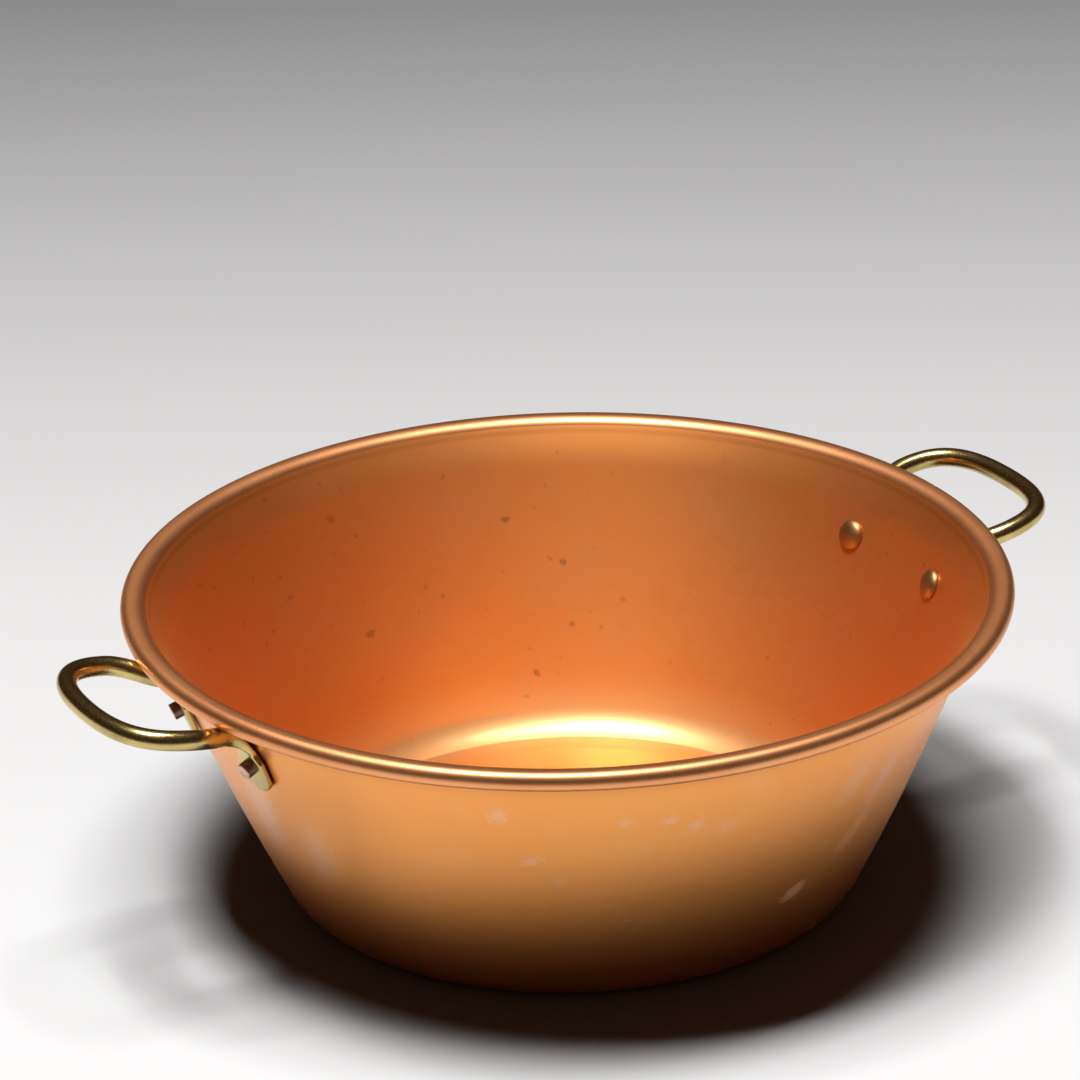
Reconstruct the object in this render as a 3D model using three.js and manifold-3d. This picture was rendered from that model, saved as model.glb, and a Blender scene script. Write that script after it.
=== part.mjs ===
// Copper jam pan: a spun bowl with a wired, rolled rim and two riveted brass loop handles.
// Millimetres, +Z up. The origin is the middle of the base's underside. The handles lie on
// the X axis, the right one on +X. Front is -Y and rear is +Y.

import * as THREE from 'three';
import { mergeVertices } from 'three/addons/utils/BufferGeometryUtils.js';
import Module from 'manifold-3d';

const wasm = await Module();
wasm.setup();

const DEGREE = Math.PI / 180;
const QUARTER_TURN = Math.PI / 2;
const FULL_TURN = Math.PI * 2;
const UP = new THREE.Vector3(0, 0, 1);

// Bowl
const RIM_RADIUS = 180;
const PAN_HEIGHT = 128.5;
const SHEET = 1.5;
const BASE_FLAT_RADIUS = 109;
const HEEL_RADIUS = 12;
const THROAT_INSET = 16.8;
const THROAT_DROP = 19;
const WALL_BOW = 2.65 * DEGREE;
const RIM_FLARE = 7.1 * DEGREE;

// Rolled rim: the shoulder turns the wall outwards, then the bead curls round the wire
const SHOULDER_RADIUS = 6;
const RIM_FLAT = 1.1;
const BEAD_RADIUS = 4;
const LIP_GAP = 0.4;

// Handles, made from round rod
const ROD_DIAMETER = 8;
const LOOP_BULGE = 9.15;
const HANDLE_REACH = 37.6;
const GRIP_DROP = 4.3;
const WIDEST_REACH = 7.5;
const WIDEST_DROP = 7.9;
const WIDEST_CLIMB = 11.3 * DEGREE;
const FOOT_SPLAY = 35.8 * DEGREE;
const FOOT_CLIMB = 17 * DEGREE;

// Forged tab at each end of a handle
const TAB_WIDTH = 14.5;
const TAB_THICKNESS = 2.9;
const TAB_BELOW_RIVET = 12;
const TAB_END_DEPTH = 4.5;
const TAB_TAPER_START = 2;
const TAB_ABOVE_RIVET = 7.6;
const NECK_WIDTH = 9.6;

// Rivets
const RIVET_SPACING = 61.1;
const RIVET_DROP = 28.6;
const SHANK_DIAMETER = 6.8;
const HEAD_DIAMETER = 12.6;
const HEAD_HEIGHT = 3;
const TAIL_LENGTH = 3.7;
const TAIL_CHAMFER = 0.4;

// Clearances
const SEAT_GAP = 0.3;
const CUT_OVERRUN = 3;

// How far a bend's two pulls reach, as shares of the distance between its ends
const WALL_PULL_shares = [0.33, 0.33];
const FLARE_PULL_shares = [0.33, 0.33];
const NECK_PULL_shares = [0.33, 0.33];
const SPLAY_PULL_shares = [0.36, 0.32];
const GRIP_PULL_shares = [0.38, 0.6];

// Roundness of a section: 2 is an ellipse, more is squarer
const ROUND = 2;
const TAB_SQUARENESS = 5;

// Facets
const ROUND_STEPS = 84;
const WIRE_SIDES = 8;
const ROD_SIDES = 12;
const RIVET_SIDES = 16;
const HEEL_STEPS = 4;
const WALL_STEPS = 4;
const FLARE_STEPS = 3;
const SHOULDER_STEPS = 3;
const CURL_STEPS = 9;
const DOME_STEPS = 4;
const TAB_END_STEPS = 5;
const TAPER_STEPS = 4;
const NECK_STEPS = 7;
const SPLAY_STEPS = 5;
const GRIP_STEPS = 9;
const BISECTIONS = 40;

// Worked out from the sizes above
const ROD_RADIUS = ROD_DIAMETER / 2;
const SHANK_RADIUS = SHANK_DIAMETER / 2;
const HEAD_RADIUS = HEAD_DIAMETER / 2;
const HOLE_RADIUS = SHANK_RADIUS + SEAT_GAP;
const BEAD_CENTRE = new THREE.Vector2(RIM_RADIUS - BEAD_RADIUS, PAN_HEIGHT - BEAD_RADIUS);
const SHOULDER_CENTRE = new THREE.Vector2(BEAD_CENTRE.x - RIM_FLAT, PAN_HEIGHT - SHOULDER_RADIUS);
const BORE_RADIUS = BEAD_RADIUS - SHEET;

// Direction that leans out from the vertical by an angle, in the plane of radius and height
function leaning(angle) {
  return new THREE.Vector2(Math.sin(angle), Math.cos(angle));
}

// Direction square to that one, pointing out of the bowl
function outOf(direction) {
  return new THREE.Vector2(direction.y, -direction.x);
}

// Smooth curve that leaves start and reaches end along the two given directions
function bend(start, startDirection, end, endDirection, [startShare, endShare]) {
  const span = start.distanceTo(end);
  const leave = start.clone().addScaledVector(startDirection, span * startShare);
  const arrive = end.clone().addScaledVector(endDirection, -span * endShare);
  const Curve = start.isVector3 ? THREE.CubicBezierCurve3 : THREE.CubicBezierCurve;
  return new Curve(start, leave, arrive, end);
}

function arc(centre, radius, fromAngle, toAngle, clockwise) {
  return new THREE.EllipseCurve(centre.x, centre.y, radius, radius, fromAngle, toAngle, clockwise);
}

// Angle at which the curl's lip comes within its gap of the shoulder's underside
function curlEndAngle() {
  const toShoulder = SHOULDER_CENTRE.clone().sub(BEAD_CENTRE);
  const apart = toShoulder.length();
  const reach = SHOULDER_RADIUS - SHEET - LIP_GAP;
  const cosine = (apart ** 2 + BEAD_RADIUS ** 2 - reach ** 2) / (2 * apart * BEAD_RADIUS);
  return toShoulder.angle() - Math.acos(cosine);
}

// Lean of a straight wall that would run from the heel's arc to the throat
function wallLean(heelCentre, throatEdge) {
  const across = throatEdge.clone().sub(heelCentre);
  return Math.atan2(across.x, across.y) - Math.asin(HEEL_RADIUS / across.length());
}

// Middle of the sheet, from the axis along the base, up the wall and round the bead. The
// wall bows out a little: it leans more than a straight one at its foot, less at its throat
function sheetCurves() {
  const half = SHEET / 2;
  const heelCentre = new THREE.Vector2(BASE_FLAT_RADIUS, HEEL_RADIUS);
  const throatEdge = new THREE.Vector2(RIM_RADIUS - THROAT_INSET, PAN_HEIGHT - THROAT_DROP);
  const lean = wallLean(heelCentre, throatEdge);
  const footAngle = lean + WALL_BOW;
  const heel = arc(heelCentre, HEEL_RADIUS - half, -QUARTER_TURN, -footAngle, false);
  const throatLean = leaning(lean - WALL_BOW);
  const throat = throatEdge.addScaledVector(outOf(throatLean), -half);
  const shoulderRadius = SHOULDER_RADIUS - half;
  const shoulderStart = Math.PI - lean - RIM_FLARE;
  const shoulder = arc(SHOULDER_CENTRE, shoulderRadius, shoulderStart, QUARTER_TURN, true);
  const curl = arc(BEAD_CENTRE, BEAD_RADIUS - half, QUARTER_TURN, curlEndAngle(), true);
  const wall = bend(heel.getPoint(1), leaning(footAngle), throat, throatLean, WALL_PULL_shares);
  const rimLean = leaning(lean + RIM_FLARE);
  const flare = bend(throat, throatLean, shoulder.getPoint(0), rimLean, FLARE_PULL_shares);
  return {
    base: new THREE.LineCurve(new THREE.Vector2(0, half), heel.getPoint(0)),
    heel,
    wall,
    flare,
    shoulder,
    rimFlat: new THREE.LineCurve(shoulder.getPoint(1), curl.getPoint(0)),
    curl,
  };
}

const sheet = sheetCurves();

// Where a rivet stands: the point on the wall's outer face, and the two directions there
function rivetSeat() {
  const height = PAN_HEIGHT - RIVET_DROP;
  let low = 0;
  let high = 1;
  for (let step = 0; step < BISECTIONS; step += 1) {
    const middle = (low + high) / 2;
    if (sheet.wall.getPoint(middle).y < height) {
      low = middle;
    } else {
      high = middle;
    }
  }
  const upward = sheet.wall.getTangent(low);
  const outward = outOf(upward);
  const place = sheet.wall.getPoint(low).addScaledVector(outward, SHEET / 2);
  return { place, upward, outward };
}

const seat = rivetSeat();
const RIVET_ANGLE = Math.asin(RIVET_SPACING / 2 / seat.place.x);

// A point or direction in the plane of radius and height, turned to an angle about the axis
function turned(flat, angle) {
  return new THREE.Vector3(flat.x * Math.cos(angle), flat.x * Math.sin(angle), flat.y);
}

function solidOf(geometry) {
  const bare = geometry.clone();
  bare.deleteAttribute('normal');
  bare.deleteAttribute('uv');
  const merged = mergeVertices(bare);
  const index = merged.index.array;
  const corners = [];
  for (let first = 0; first < index.length; first += 3) {
    const [a, b, c] = index.slice(first, first + 3);
    if (a !== b && b !== c && c !== a) {
      corners.push(a, b, c);
    }
  }
  const vertProperties = new Float32Array(merged.attributes.position.array);
  const triVerts = new Uint32Array(corners);
  return new wasm.Manifold(new wasm.Mesh({ numProp: 3, vertProperties, triVerts }));
}

function geometryOf(solid) {
  const mesh = solid.getMesh();
  const geometry = new THREE.BufferGeometry();
  geometry.setAttribute('position', new THREE.BufferAttribute(mesh.vertProperties.slice(), 3));
  geometry.setIndex(new THREE.BufferAttribute(mesh.triVerts.slice(), 1));
  geometry.computeVertexNormals();
  return geometry;
}

function revolve(profile, sides) {
  const geometry = new THREE.LatheGeometry(profile, sides);
  geometry.rotateX(QUARTER_TURN);
  return geometry;
}

// Hole for a rivet, square to the wall, long enough to cut the wall and the tab
function rivetHole(angle) {
  const depth = SHEET + TAB_THICKNESS + SEAT_GAP + 2 * CUT_OVERRUN;
  const hole = new THREE.CylinderGeometry(HOLE_RADIUS, HOLE_RADIUS, depth, RIVET_SIDES);
  const outward = turned(seat.outward, angle);
  const middle = (TAB_THICKNESS + SEAT_GAP - SHEET) / 2;
  const centre = turned(seat.place, angle).addScaledVector(outward, middle);
  const turn = new THREE.Quaternion().setFromUnitVectors(new THREE.Vector3(0, 1, 0), outward);
  hole.applyQuaternion(turn);
  hole.translate(centre.x, centre.y, centre.z);
  return solidOf(hole);
}

function cutRivetHoles(solid, angles) {
  let cut = solid;
  for (const angle of angles) {
    cut = cut.subtract(rivetHole(angle));
  }
  return cut;
}

// Bowl: both faces of the sheet lie half its thickness from its middle curve
function panBody() {
  const steps = {
    base: 1,
    heel: HEEL_STEPS,
    wall: WALL_STEPS,
    flare: FLARE_STEPS,
    shoulder: SHOULDER_STEPS,
    rimFlat: 1,
    curl: CURL_STEPS,
  };
  const under = [];
  const over = [];
  for (const [name, curve] of Object.entries(sheet)) {
    for (let step = name === 'base' ? 0 : 1; step <= steps[name]; step += 1) {
      const place = curve.getPoint(step / steps[name]);
      const across = outOf(curve.getTangent(step / steps[name])).multiplyScalar(SHEET / 2);
      under.push(place.clone().add(across));
      over.unshift(place.clone().sub(across));
    }
  }
  const bowl = solidOf(revolve([...under, ...over], ROUND_STEPS));
  const angles = [RIVET_ANGLE, -RIVET_ANGLE, Math.PI + RIVET_ANGLE, Math.PI - RIVET_ANGLE];
  return geometryOf(cutRivetHoles(bowl, angles));
}

// Ring of wire that fills the bead's bore
function rimWire() {
  const radius = BORE_RADIUS - SEAT_GAP;
  const profile = [];
  for (let side = 0; side <= WIRE_SIDES; side += 1) {
    const angle = (side % WIRE_SIDES) * FULL_TURN / WIRE_SIDES;
    const offset = new THREE.Vector2(Math.cos(angle), Math.sin(angle)).multiplyScalar(radius);
    profile.push(offset.add(BEAD_CENTRE));
  }
  return revolve(profile, ROUND_STEPS);
}

function ease(share) {
  return share * share * (3 - 2 * share);
}

function between(from, to, share) {
  return from + (to - from) * share;
}

// Flat tab against the wall, with a rounded lower end and a taper up to the neck
function tabSections(angle) {
  const upward = turned(seat.upward, angle);
  const outward = turned(seat.outward, angle);
  const middle = turned(seat.place, angle).addScaledVector(outward, SEAT_GAP + TAB_THICKNESS / 2);
  const section = (along, width, squareness) => ({
    centre: middle.clone().addScaledVector(upward, along),
    direction: upward,
    width,
    thickness: TAB_THICKNESS,
    squareness,
  });
  const sections = [];
  for (let step = 1; step <= TAB_END_STEPS; step += 1) {
    const turn = QUARTER_TURN * step / TAB_END_STEPS;
    const along = TAB_END_DEPTH * (1 - Math.cos(turn)) - TAB_BELOW_RIVET;
    sections.push(section(along, TAB_WIDTH * Math.sin(turn), TAB_SQUARENESS));
  }
  for (let step = 0; step <= TAPER_STEPS; step += 1) {
    const share = step / TAPER_STEPS;
    const along = between(TAB_TAPER_START, TAB_ABOVE_RIVET, share);
    sections.push(section(along, between(TAB_WIDTH, NECK_WIDTH, ease(share)), TAB_SQUARENESS));
  }
  return sections;
}

// Half of the rod's middle line: out from under the bead, round its widest, to mid grip
function rodCurves() {
  const climb = (heading, rise) => new THREE.Vector3(
    Math.cos(heading) * Math.cos(rise),
    Math.sin(heading) * Math.cos(rise),
    Math.sin(rise),
  );
  const under = (BEAD_RADIUS + SEAT_GAP + ROD_RADIUS) / Math.cos(FOOT_CLIMB);
  const underBead = turned(new THREE.Vector2(BEAD_CENTRE.x, BEAD_CENTRE.y - under), RIVET_ANGLE);
  const leave = climb(FOOT_SPLAY, FOOT_CLIMB);
  const widest = new THREE.Vector3(
    RIM_RADIUS + WIDEST_REACH,
    RIVET_SPACING / 2 + LOOP_BULGE,
    PAN_HEIGHT - WIDEST_DROP,
  );
  const outwards = climb(0, WIDEST_CLIMB);
  const midGrip = new THREE.Vector3(
    RIM_RADIUS + HANDLE_REACH - ROD_RADIUS,
    0,
    PAN_HEIGHT - GRIP_DROP,
  );
  const along = climb(-QUARTER_TURN, 0);
  return {
    underBead,
    leave,
    splay: bend(underBead, leave, widest, outwards, SPLAY_PULL_shares),
    grip: bend(widest, outwards, midGrip, along, GRIP_PULL_shares),
  };
}

// Sections of half a handle, from the tab's lower end to the middle of the grip
function halfHandleSections() {
  const sections = tabSections(RIVET_ANGLE);
  const top = sections[sections.length - 1];
  const rod = rodCurves();
  const neck = bend(top.centre, top.direction, rod.underBead, rod.leave, NECK_PULL_shares);
  const run = (curve, steps, size) => {
    for (let step = 1; step <= steps; step += 1) {
      const share = step / steps;
      const { width, thickness, squareness } = size(ease(share));
      sections.push({
        centre: curve.getPoint(share),
        direction: curve.getTangent(share),
        width,
        thickness,
        squareness,
      });
    }
  };
  const rodSize = () => ({ width: ROD_DIAMETER, thickness: ROD_DIAMETER, squareness: ROUND });
  run(neck, NECK_STEPS, (share) => ({
    width: between(NECK_WIDTH, ROD_DIAMETER, share),
    thickness: between(TAB_THICKNESS, ROD_DIAMETER, share),
    squareness: between(TAB_SQUARENESS, ROUND, share),
  }));
  run(rod.splay, SPLAY_STEPS, rodSize);
  run(rod.grip, GRIP_STEPS, rodSize);
  return sections;
}

function mirroredSection(section) {
  const flip = new THREE.Vector3(1, -1, 1);
  return {
    ...section,
    centre: section.centre.clone().multiply(flip),
    direction: section.direction.clone().multiply(flip).negate(),
  };
}

// Power that squares a circle's sine or cosine
function squared(value, squareness) {
  return Math.sign(value) * Math.abs(value) ** (2 / squareness);
}

// Points of one section, round its centre and square to its direction
function ringOf(section) {
  const side = UP.clone().cross(section.direction).normalize();
  const face = section.direction.clone().cross(side).normalize();
  const ring = [];
  for (let step = 0; step < ROD_SIDES; step += 1) {
    const angle = step * FULL_TURN / ROD_SIDES;
    const across = squared(Math.cos(angle), section.squareness) * section.width / 2;
    const through = squared(Math.sin(angle), section.squareness) * section.thickness / 2;
    ring.push(section.centre.clone().addScaledVector(side, across).addScaledVector(face, through));
  }
  return ring;
}

// Closed skin over rings of equal count, with a fan over each end
function loft(sections) {
  const rings = sections.map(ringOf);
  const count = rings[0].length;
  const last = (rings.length - 1) * count;
  const points = [...rings.flat(), sections[0].centre, sections[sections.length - 1].centre];
  const startCentre = rings.length * count;
  const endCentre = startCentre + 1;
  const corners = [];
  for (let side = 0; side < count; side += 1) {
    const next = (side + 1) % count;
    for (let from = 0; from < last; from += count) {
      const to = from + count;
      corners.push(from + side, from + next, to + next);
      corners.push(from + side, to + next, to + side);
    }
    corners.push(startCentre, next, side);
    corners.push(endCentre, last + side, last + next);
  }
  const geometry = new THREE.BufferGeometry().setFromPoints(points);
  geometry.setIndex(corners);
  return geometry;
}

// One rod bent to a loop, both ends forged flat and drilled
function handle() {
  const half = halfHandleSections();
  const otherHalf = half.slice(0, -1).reverse().map(mirroredSection);
  const blank = solidOf(loft([...half, ...otherHalf]));
  return geometryOf(cutRivetHoles(blank, [RIVET_ANGLE, -RIVET_ANGLE]));
}

// Solid rivet along +Y, with Y = 0 at the wall's outer face: the domed head is inside the
// bowl, and its flat underside clears the hollow of the wall
function rivet() {
  const hollow = seat.place.x - Math.sqrt(seat.place.x ** 2 - HEAD_RADIUS ** 2);
  const headFace = -(SHEET + SEAT_GAP + hollow);
  const tailEnd = SEAT_GAP + TAB_THICKNESS + TAIL_LENGTH;
  const profile = [];
  for (let step = 0; step <= DOME_STEPS; step += 1) {
    const angle = QUARTER_TURN * step / DOME_STEPS;
    const height = headFace - HEAD_HEIGHT * Math.cos(angle);
    profile.push(new THREE.Vector2(HEAD_RADIUS * Math.sin(angle), height));
  }
  profile.push(new THREE.Vector2(SHANK_RADIUS, headFace));
  profile.push(new THREE.Vector2(SHANK_RADIUS, tailEnd - TAIL_CHAMFER));
  profile.push(new THREE.Vector2(SHANK_RADIUS - TAIL_CHAMFER, tailEnd));
  profile.push(new THREE.Vector2(0, tailEnd));
  return new THREE.LatheGeometry(profile, RIVET_SIDES);
}

function copper() {
  return new THREE.MeshStandardMaterial({ color: 0xd07c4e, roughness: 0.32, metalness: 1 });
}

function brass() {
  return new THREE.MeshStandardMaterial({ color: 0xc9a352, roughness: 0.16, metalness: 1 });
}

function rivetCopper() {
  return new THREE.MeshStandardMaterial({ color: 0x9c5c3c, roughness: 0.38, metalness: 1 });
}

function steel() {
  return new THREE.MeshStandardMaterial({ color: 0x8c8f92, roughness: 0.45, metalness: 1 });
}

function named(name, geometry, material) {
  const mesh = new THREE.Mesh(geometry, material);
  mesh.name = name;
  return mesh;
}

// One handle with its two rivets, standing on +X; ends names the rivets at +Y and -Y
function handleSet(side, ends) {
  const set = new THREE.Group();
  set.add(named(`handle_${side}`, handle(), brass()));
  const angles = [RIVET_ANGLE, -RIVET_ANGLE];
  angles.forEach((angle, place) => {
    const mesh = named(`rivet_${side}_${ends[place]}`, rivet(), rivetCopper());
    mesh.position.copy(turned(seat.place, angle));
    mesh.quaternion.setFromUnitVectors(new THREE.Vector3(0, 1, 0), turned(seat.outward, angle));
    set.add(mesh);
  });
  return set;
}

function jamPan() {
  const pan = new THREE.Group();
  pan.add(named('pan_body', panBody(), copper()));
  pan.add(named('rim_wire', rimWire(), steel()));
  pan.add(handleSet('right', ['rear', 'front']));
  const left = handleSet('left', ['front', 'rear']);
  left.rotation.z = Math.PI;
  pan.add(left);
  return pan;
}

const pan = jamPan();

export default pan;
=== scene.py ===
import math

import bpy
from mathutils import Matrix, Vector


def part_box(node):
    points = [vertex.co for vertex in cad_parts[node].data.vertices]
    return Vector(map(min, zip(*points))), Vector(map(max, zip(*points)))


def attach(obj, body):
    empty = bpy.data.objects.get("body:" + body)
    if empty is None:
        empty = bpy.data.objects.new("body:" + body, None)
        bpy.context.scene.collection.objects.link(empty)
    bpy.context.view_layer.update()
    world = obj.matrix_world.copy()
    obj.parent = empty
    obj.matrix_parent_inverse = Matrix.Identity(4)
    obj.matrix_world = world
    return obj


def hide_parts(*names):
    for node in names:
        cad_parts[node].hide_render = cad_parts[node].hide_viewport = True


# Copper jam pan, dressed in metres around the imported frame: a satin spun inside, a polished
# outside, a browned rolled rim, polished brass loops and brown copper rivets.

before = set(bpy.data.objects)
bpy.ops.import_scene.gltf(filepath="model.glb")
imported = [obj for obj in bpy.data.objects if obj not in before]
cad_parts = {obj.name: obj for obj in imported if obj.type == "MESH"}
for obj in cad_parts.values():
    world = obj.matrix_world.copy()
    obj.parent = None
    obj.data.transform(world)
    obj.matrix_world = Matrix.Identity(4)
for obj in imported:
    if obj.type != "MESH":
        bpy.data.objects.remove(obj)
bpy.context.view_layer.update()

UP = Vector((0, 0, 1))
QUARTER = math.pi / 2
FULL = 2 * math.pi

# Bowl, with its rim's radius and its height from the frame
pan_low, pan_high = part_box("pan_body")
RIM_RADIUS = (pan_high.y - pan_low.y) / 2
PAN_HEIGHT = pan_high.z
SHEET = 0.0015
BASE_FLAT_RADIUS = 0.109
HEEL_RADIUS = 0.012
THROAT_INSET = 0.0168
THROAT_DROP = 0.019
WALL_BOW = math.radians(2.65)
RIM_FLARE = math.radians(7.1)

# Rolled rim
SHOULDER_RADIUS = 0.006
RIM_FLAT = 0.0011
BEAD_RADIUS = 0.004
LIP_GAP = 0.0004

# Steps along each run of the bowl's outline, sides round it, and the pull of its free curves:
# how far a curve follows its direction at each end, as a share of its span
BASE_RUN_STEPS = 60
HEEL_STEPS = 24
WALL_STEPS = 48
FLARE_STEPS = 16
SHOULDER_STEPS = 12
CURL_STEPS = 48
BOWL_SIDES = 360
WALL_PULL = (0.33, 0.33)
FLARE_PULL = (0.33, 0.33)

# Inside, the heel is a soft curve, and the base rises a little within a shallow ring at its
# edge. The base's darker, paler copper, painted shade and painted highlight, goes on over the
# first steps of the heel
SOFT_HEEL_RADIUS = 0.018
BASE_LIFT = 0.0018
RING_RISE = 0.0004
RING_WIDTH = 0.006
BASE_STEPS = 120
SOFT_HEEL_STEPS = 40
BASE_HEEL_STEPS = 11

# Handles
ROD_RADIUS = 0.004
LOOP_BULGE = 0.00915
HANDLE_REACH = 0.0376
GRIP_DROP = 0.0043
WIDEST_REACH = 0.0075
WIDEST_DROP = 0.0079
WIDEST_CLIMB = math.radians(11.3)
FOOT_SPLAY = math.radians(35.8)
FOOT_CLIMB = math.radians(17)
TAB_WIDTH = 0.0145
TAB_THICKNESS = 0.0029
TAB_BELOW_RIVET = 0.012
TAB_END_DEPTH = 0.0045
TAB_TAPER_START = 0.002
TAB_ABOVE_RIVET = 0.0076
NECK_WIDTH = 0.0096
NECK_PULL = (0.33, 0.33)
SIDE_PULL = (0.36, 0.32)
GRIP_PULL = (0.38, 0.6)
TAB_END_STEPS = 18
TAB_STEPS = 16
NECK_STEPS = 40
SIDE_STEPS = 32
GRIP_STEPS = 64
ROD_SIDES = 48
TAB_SQUARENESS = 5
ROD_SQUARENESS = 2

# Rivets
RIVET_SPACING = 0.0611
RIVET_DROP = 0.0286
SHANK_RADIUS = 0.0034
HEAD_RADIUS = 0.0063
HEAD_HEIGHT = 0.003
TAIL_LENGTH = 0.0037
TAIL_EDGE_RADIUS = 0.0004
SEAT_GAP = 0.0003
HEAD_STEPS = 24
TAIL_EDGE_STEPS = 6
RIVET_SIDES = 64

# Finish: spun lines, their strokes, marks, and painted shade along the crease inside below the rim
SPUN_CLIMB = 1.7
SPUN_NOISE_ROUGHNESS = 0.6
STROKE_WIDTH = 0.0001
STROKE_LENGTH = 0.0004
MARK_DEPTH = 0.02
MARK_GRAIN = 700.0
CREASE_DROP = 0.0052
CREASE_REACH = (0.0004, 0.0013)
CREASE_SHADE_STRENGTH = 0.25
OUTSIDE_FOOT_SHADE_STRENGTH = 0.9
INSIDE_FOOT_ROUGHNESS = 0.04
SCUFF_AND_HIGHLIGHT_ROUGHNESS = 0.3

# Noise mostly stays between these values
NOISE_RANGE = (0.3, 0.7)

# Heights between which a foot or top band fades. The inside foot band is painted highlight, the
# outside foot band painted shade
INSIDE_HIGHLIGHT_FADE = (0.006, 0.030)
INSIDE_TOP_FADE = (0.095, 0.122)
OUTSIDE_SHADE_FADE = (0.016, 0.050)

# Camera at the photograph's viewing angle. The point of the axis at AIM_HEIGHT shows at
# AIM_PIXELS, counted to the right of and below the middle of the image
CAMERA_DISTANCE = 2.1045
CAMERA_ELEVATION = math.radians(24.16)
CAMERA_TURN = math.radians(-29.1)
CAMERA_ROLL = math.radians(-1.445)
IMAGE_PIXELS = 1080
FOCAL_PIXELS = 5216.9
SENSOR_MM = 36
AIM_PIXELS = (26.995, 47.337)
AIM_HEIGHT = 0.12455
CLIP_NEAR = 0.1
CLIP_FAR = 100

# Lamps, as the camera sees them: name, place to the right of the pan, place beyond it,
# height, width, depth and watts
LAMPS = (
    ("key", -1.15, -0.36, 6.0, 2.4, 1.2, 256),
    ("second", 0.24, -0.36, 6.0, 3.0, 1.2, 216),
)
WORLD_COLOUR = (1.0, 0.45, 0.25, 1)
WORLD_STRENGTH = 0.03

# Floor, pale round the pan. It fades to dark between two distances beyond the pan's middle,
# and again between two towards the front, where distances are below zero. Both fades are painted
# shade: the far one for the lamps' falloff, the near one for the dark in front of the pan, which
# the bead and outside wall reflect
FLOOR_REACH = 30
FLOOR_ROUGHNESS = 0.6
FLOOR_SPECULAR = 0.2
FLOOR_PALE = (0.80, 0.80, 0.80, 1)
FLOOR_SHADE = (0.06, 0.059, 0.060, 1)
FAR_SHADE_FADE = (-0.25, 1.85)
NEAR_SHADE_FADE = (-0.27, -0.65)

BEAD_CENTRE = Vector((RIM_RADIUS - BEAD_RADIUS, PAN_HEIGHT - BEAD_RADIUS))
SHOULDER_CENTRE = Vector((BEAD_CENTRE.x - RIM_FLAT, PAN_HEIGHT - SHOULDER_RADIUS))


# Outline of the sheet in the plane of radius and height

def ease(share):
    return share * share * (3 - 2 * share)


def leaning(angle):
    return Vector((math.sin(angle), math.cos(angle)))


def out_of(direction):
    return Vector((direction.y, -direction.x))


def bend_points(start, start_direction, end, end_direction, pull, steps):
    """Points and directions of a smooth curve between two ends with given directions."""
    span = (end - start).length
    leave = start + start_direction * (span * pull[0])
    arrive = end - end_direction * (span * pull[1])
    found = []
    for step in range(steps + 1):
        t = step / steps
        u = 1 - t
        place = start * u ** 3 + leave * (3 * u * u * t) + arrive * (3 * u * t * t) + end * t ** 3
        slope = (leave - start) * u * u + (arrive - leave) * 2 * u * t + (end - arrive) * t * t
        found.append((place, slope.normalized()))
    return found


def arc_points(centre, radius, start, end, steps):
    found = []
    for step in range(steps + 1):
        angle = start + (end - start) * step / steps
        spoke = Vector((math.cos(angle), math.sin(angle)))
        ahead = Vector((-spoke.y, spoke.x)) * (1 if end > start else -1)
        found.append((centre + spoke * radius, ahead))
    return found


def curl_end_angle():
    to_shoulder = SHOULDER_CENTRE - BEAD_CENTRE
    apart = to_shoulder.length
    reach = SHOULDER_RADIUS - SHEET - LIP_GAP
    cosine = (apart ** 2 + BEAD_RADIUS ** 2 - reach ** 2) / (2 * apart * BEAD_RADIUS)
    return math.atan2(to_shoulder.y, to_shoulder.x) - math.acos(cosine)


def wall_parts():
    """Middle line of the sheet in named runs of (point, direction), from the axis to the lip."""
    half = SHEET / 2
    heel_centre = Vector((BASE_FLAT_RADIUS, HEEL_RADIUS))
    throat_edge = Vector((RIM_RADIUS - THROAT_INSET, PAN_HEIGHT - THROAT_DROP))
    to_throat = throat_edge - heel_centre
    lean = math.atan2(to_throat.x, to_throat.y) - math.asin(HEEL_RADIUS / to_throat.length)
    foot_angle = lean + WALL_BOW
    heel = arc_points(heel_centre, HEEL_RADIUS - half, -QUARTER, -foot_angle, HEEL_STEPS)
    throat_lean = leaning(lean - WALL_BOW)
    throat = throat_edge - out_of(throat_lean) * half
    shoulder_radius = SHOULDER_RADIUS - half
    shoulder_start = math.pi - lean - RIM_FLARE
    shoulder = arc_points(SHOULDER_CENTRE, shoulder_radius, shoulder_start, QUARTER, SHOULDER_STEPS)
    curl = arc_points(BEAD_CENTRE, BEAD_RADIUS - half, QUARTER, curl_end_angle(), CURL_STEPS)
    base = []
    for step in range(BASE_RUN_STEPS + 1):
        base.append((Vector((BASE_FLAT_RADIUS * step / BASE_RUN_STEPS, half)), Vector((1, 0))))
    wall_start = heel[-1][0]
    wall = bend_points(wall_start, leaning(foot_angle), throat, throat_lean, WALL_PULL, WALL_STEPS)
    rim_lean = leaning(lean + RIM_FLARE)
    flare_end = shoulder[0][0]
    flare = bend_points(throat, throat_lean, flare_end, rim_lean, FLARE_PULL, FLARE_STEPS)
    return {
        "base": base,
        "heel": heel,
        "wall": wall,
        "flare": flare,
        "shoulder": shoulder,
        "curl": curl,
    }


PARTS = wall_parts()


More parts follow.
